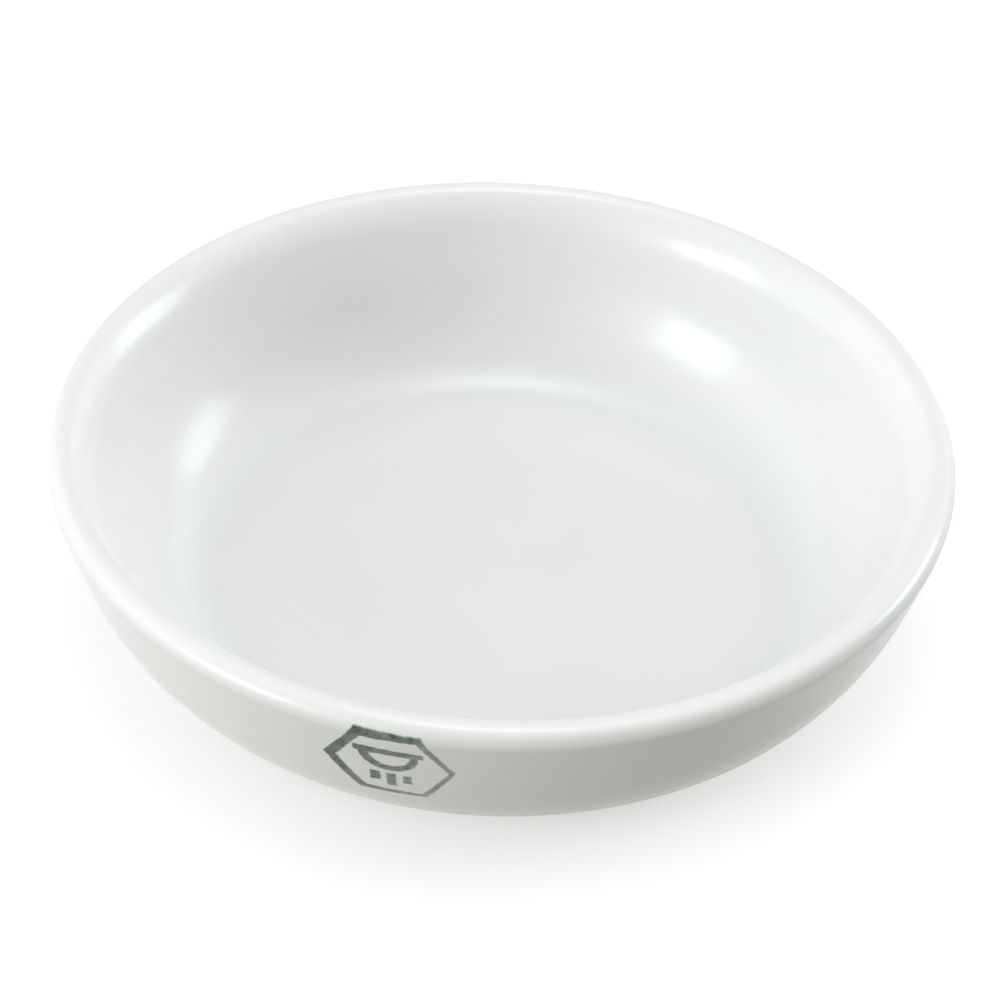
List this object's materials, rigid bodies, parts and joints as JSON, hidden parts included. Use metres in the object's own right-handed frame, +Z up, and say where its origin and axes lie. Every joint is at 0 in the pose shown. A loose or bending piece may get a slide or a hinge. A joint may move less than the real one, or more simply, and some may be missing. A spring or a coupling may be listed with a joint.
{
  "type": "evaporating dish",
  "caption": "Shallow round porcelain evaporating dish with a flat bottom, a curved wall, a rounded rim that rolls over a soft shoulder inside, and a white glaze, for heating and drying solutions.",
  "frame": {"origin": "centre of the base, in the plane that the dish stands on", "axes": "+Z up along the dish's own axis; the printed mark is on the -Y side, 12 degrees towards -X"},
  "size_m": [0.1, 0.1, 0.0235],
  "materials": {
    "biscuit_porcelain": "matte",
    "white_glaze": "gloss",
    "green_ink": "satin"
  },
  "bodies": {
    "root": {"porcelain_body": "biscuit_porcelain", "glaze_coat": "white_glaze", "fired_mark": "green_ink"}
  },
  "joints": []
}
